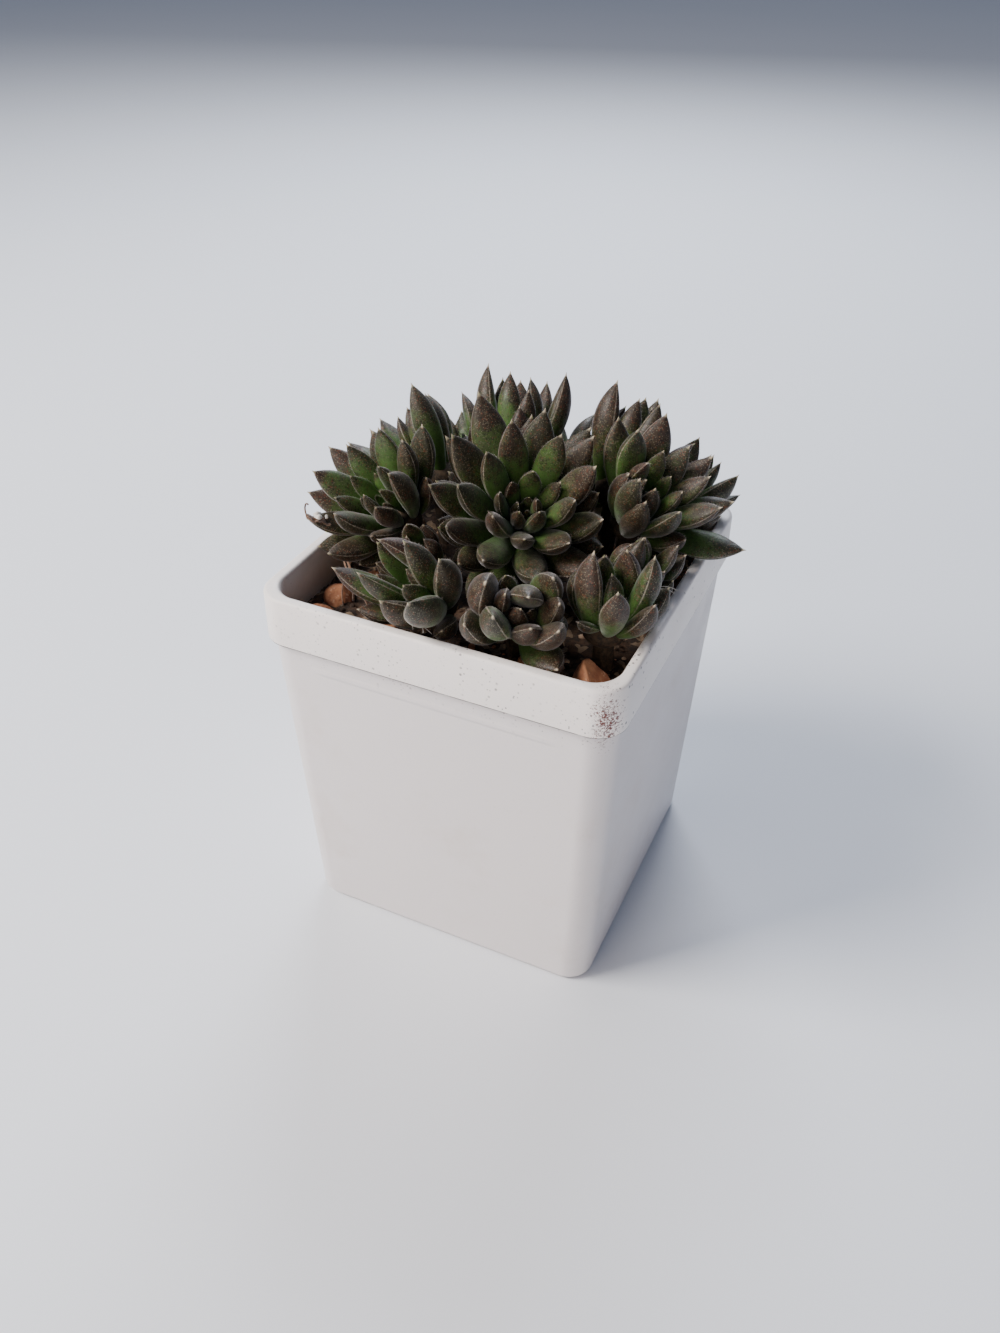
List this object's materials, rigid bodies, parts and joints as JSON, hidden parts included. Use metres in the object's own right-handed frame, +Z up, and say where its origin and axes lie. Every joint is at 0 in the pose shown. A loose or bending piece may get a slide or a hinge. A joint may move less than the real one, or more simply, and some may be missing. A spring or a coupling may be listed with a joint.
{
  "type": "potted succulent",
  "caption": "Square tapered nursery pot filled with gritty soil and pebbles, holding a low dense dome of crowded rosettes of plump pointed succulent leaves",
  "frame": {"origin": "on the floor under the middle of the pot's base", "axes": "+Z up, the front side of the pot faces -Y, +X to its right"},
  "size_m": [0.0879, 0.0829, 0.1123],
  "materials": {
    "pot": "satin white, slightly warm, with fine dust",
    "soil": "dark crumbly potting mix with grit",
    "pebble": "matt terracotta and tan",
    "leaf": "dark olive brown, finely papillose, green toward the root, pale margins"
  },
  "bodies": {
    "root": {"offset_left": "leaf", "offset_right": "leaf", "pebble_01": "pebble", "pebble_02": "pebble", "pebble_03": "pebble", "pebble_04": "pebble", "pebble_05": "pebble", "pebble_06": "pebble", "pebble_07": "pebble", "pebble_08": "pebble", "pebble_09": "pebble", "pebble_10": "pebble", "pebble_11": "pebble", "pot": "pot", "rosette_back": "leaf", "rosette_back_left": "leaf", "rosette_back_right": "leaf", "rosette_centre": "leaf", "rosette_front": "leaf", "rosette_front_left": "leaf", "rosette_front_right": "leaf", "rosette_left": "leaf", "rosette_rear": "leaf", "rosette_rear_left": "leaf", "rosette_rear_right": "leaf", "rosette_right": "leaf", "soil": "soil"}
  },
  "joints": []
}
